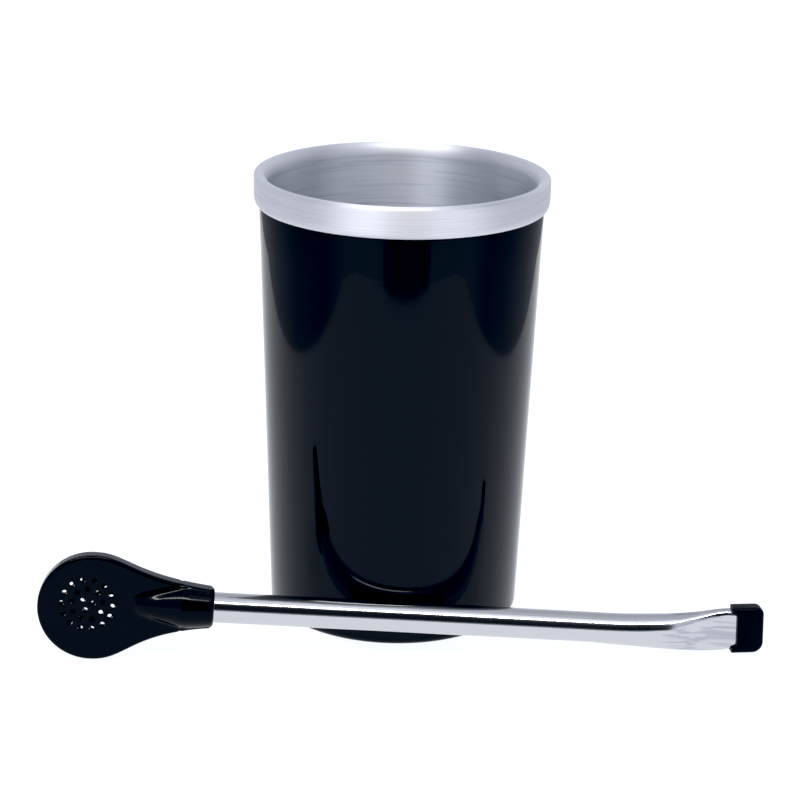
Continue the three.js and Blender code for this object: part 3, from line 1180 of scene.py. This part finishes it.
@dataclass
class Studio:
    """The pale floor, the soft light round it and the camera."""

    floor_side: float = 0.247
    floor_front: float = -0.31
    floor_back: float = 6.0
    floor_glow: float = 0.95
    floor_drop: float = 0.0001
    paper: str = "#75777a"
    paper_roughness: float = 0.9
    glow_tint: Colour = (0.97, 1.0, 1.05, 1.0)
    backdrop: float = 1.1
    lamp: float = 29.0
    lamp_ahead: float = 0.56
    lamp_skew: float = 0.27
    lamp_half: float = 0.05
    lamp_soft: float = 0.012
    lamp_reach: Triple = (-0.62, 0.3, 0.08)
    lamp_rise: Pair = (0.1, 0.2)
    behind: Levels = ((0.0, 0.86), (0.3, 0.72), (0.7, 0.56), (0.93, 0.64), (1.0, 0.8))
    beside: Levels = (
        (0.0, 1.3), (0.05, 0.62), (0.5, 0.58), (0.76, 0.64), (0.84, 1.2), (0.92, 1.0), (1.0, 0.8)
    )
    camera_side: Levels = (
        (0.0, 0.5), (0.05, 0.3), (0.13, 0.02), (0.76, 0.02), (0.84, 1.2), (0.92, 1.0), (1.0, 0.8)
    )
    dark_sector: Triple = (-17, 19, 2)
    front_sector: Triple = (-90, 90, 12)
    panel: Triple = (-58, 62, 12)
    panel_low: float = 0.75
    panel_high: float = 1.35
    horizon: float = -0.03
    below: float = 0.5
    tint: Colour = (0.98, 1.03, 1.14, 1.0)
    camera_place: Triple = (-0.043232, -0.604288, 0.264574)
    part_turn: float = 0.07142
    yaw: float = 0.00119
    pitch: float = 0.3269
    roll: float = 0.02319
    lens: float = 102.804
    sensor: float = 36.0
    clip: Pair = (0.01, 50.0)
    black_point: Triple = (0.0114, 0.0095, 0.0069)

    def camera(self) -> None:
        """Makes the camera at the photograph's angle."""
        yaw = self.yaw + self.part_turn
        level = math.cos(self.pitch)
        forward = Vector((math.sin(yaw) * level, math.cos(yaw) * level, -math.sin(self.pitch)))
        right = forward.cross(Vector((0, 0, 1))).normalized()
        up = right.cross(forward)
        sin, cos = math.sin(self.roll), math.cos(self.roll)
        across = right * cos + up * sin
        over = up * cos - right * sin
        turn = Matrix((across, over, -forward)).transposed().to_4x4()
        data = bpy.data.cameras.new("camera")
        data.lens = self.lens
        data.sensor_width = self.sensor
        data.clip_start, data.clip_end = self.clip
        camera = bpy.data.objects.new("camera", data)
        bpy.context.scene.collection.objects.link(camera)
        camera.matrix_world = Matrix.Translation(self.camera_place) @ turn
        bpy.context.scene.camera = camera

    def floor(self) -> None:
        """Makes the pale floor, a lit white sweep that ends in front of the cup."""
        deselect_all()
        bpy.ops.mesh.primitive_plane_add(size=2)
        floor = bpy.context.object
        floor.name = "floor"
        middle = (self.floor_front + self.floor_back) / 2
        length = (self.floor_back - self.floor_front) / 2
        place = Matrix.Translation((0, middle, -self.floor_drop))
        floor.data.transform(place @ Matrix.Diagonal((self.floor_side, length, 1, 1)))
        material, tree = blank_material("white_paper_sweep")
        shader = add_node(
            tree,
            "BsdfPrincipled",
            {
                "Base Color": linear(self.paper),
                "Roughness": self.paper_roughness,
                "Specular IOR Level": 0.0,
                "Emission Color": self.glow_tint,
                "Emission Strength": self.floor_glow,
            },
        )
        add_node(tree, "OutputMaterial", {"Surface": shader})
        floor.data.materials.append(material)

    def room(self, field: LightField) -> Socket:
        """Gives the room's own light: bright overhead in front, dark round the camera, grey behind.

        Args:
            field: The nodes that know the direction.

        Returns:
            The colour of the light from each direction.
        """
        beside = field.levels(self.beside)
        share = add_node(
            field.tree,
            "MapRange",
            {"Value": field.sector(*self.panel), "To Min": self.panel_low, "To Max": self.panel_high},
        )
        side = field.blend(1.0, beside, share.outputs["Result"], "MULTIPLY")
        front = field.blend(field.sector(*self.dark_sector), side, field.levels(self.camera_side))
        around = field.blend(field.sector(*self.front_sector), field.levels(self.behind), front)
        shade = add_node(
            field.tree,
            "MapRange",
            {"Value": field.up, "From Min": self.horizon, "From Max": 0.0, "To Min": self.below},
        )
        cool = field.blend(1.0, around, self.tint, "MULTIPLY")
        return field.blend(1.0, cool, shade.outputs["Result"], "MULTIPLY")

    def strip(self, field: LightField) -> Socket:
        """Gives the level of the one long thin lamp overhead, a straight strip seen in perspective.

        Args:
            field: The nodes that know the direction.

        Returns:
            The lamp's level in each direction.
        """
        across = field.sum_of("DIVIDE", field.side, field.up)
        ahead = field.sum_of("DIVIDE", field.ahead, field.up)
        middle = field.sum_of("MULTIPLY_ADD", across, self.lamp_skew, self.lamp_ahead)
        away = field.sum_of("SUBTRACT", ahead, middle)
        width = field.span(away, -self.lamp_half, self.lamp_half, self.lamp_soft)
        length = field.span(across, *self.lamp_reach)
        risen = field.zone(field.up, *self.lamp_rise)
        shape = field.sum_of("MULTIPLY", field.sum_of("MULTIPLY", width, length), risen)
        return field.sum_of("MULTIPLY", shape, self.lamp)

    def light(self) -> None:
        """Makes the light round the part, and a plain white backdrop where the camera looks past it."""
        world = bpy.data.worlds.new("studio")
        bpy.context.scene.world = world
        world.use_nodes = True
        tree = world.node_tree
        tree.nodes.clear()
        field = LightField(tree)
        white = (1.0, 1.0, 1.0, 1.0)
        room = add_node(tree, "Background", {"Color": self.room(field)})
        lamp = add_node(tree, "Background", {"Color": white, "Strength": self.strip(field)})
        lit = add_node(tree, "AddShader", {0: room, 1: lamp})
        seen = add_node(tree, "Background", {"Color": white, "Strength": self.backdrop})
        path = add_node(tree, "LightPath")
        both = add_node(tree, "MixShader", {0: path.outputs["Is Camera Ray"], 1: lit, 2: seen})
        add_node(tree, "OutputWorld", {"Surface": both})

    def build(self) -> None:
        """Sets up the whole studio, with a photographic black point."""
        self.camera()
        self.floor()
        self.light()
        view = bpy.context.scene.view_settings
        view.view_transform = "Standard"
        view.use_curve_mapping = True
        view.curve_mapping.black_level = self.black_point
        view.curve_mapping.update()


def main() -> None:
    """Builds the object and its studio."""
    logging.basicConfig(level=logging.INFO, format="%(name)s: %(message)s", stream=sys.stdout)
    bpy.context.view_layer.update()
    Studio().build()
    Cup().build()
    StrainerHead().build()
    StrawTube().build()
    MouthCap().build()
    bpy.context.view_layer.update()


if __name__ == "__main__":
    main()
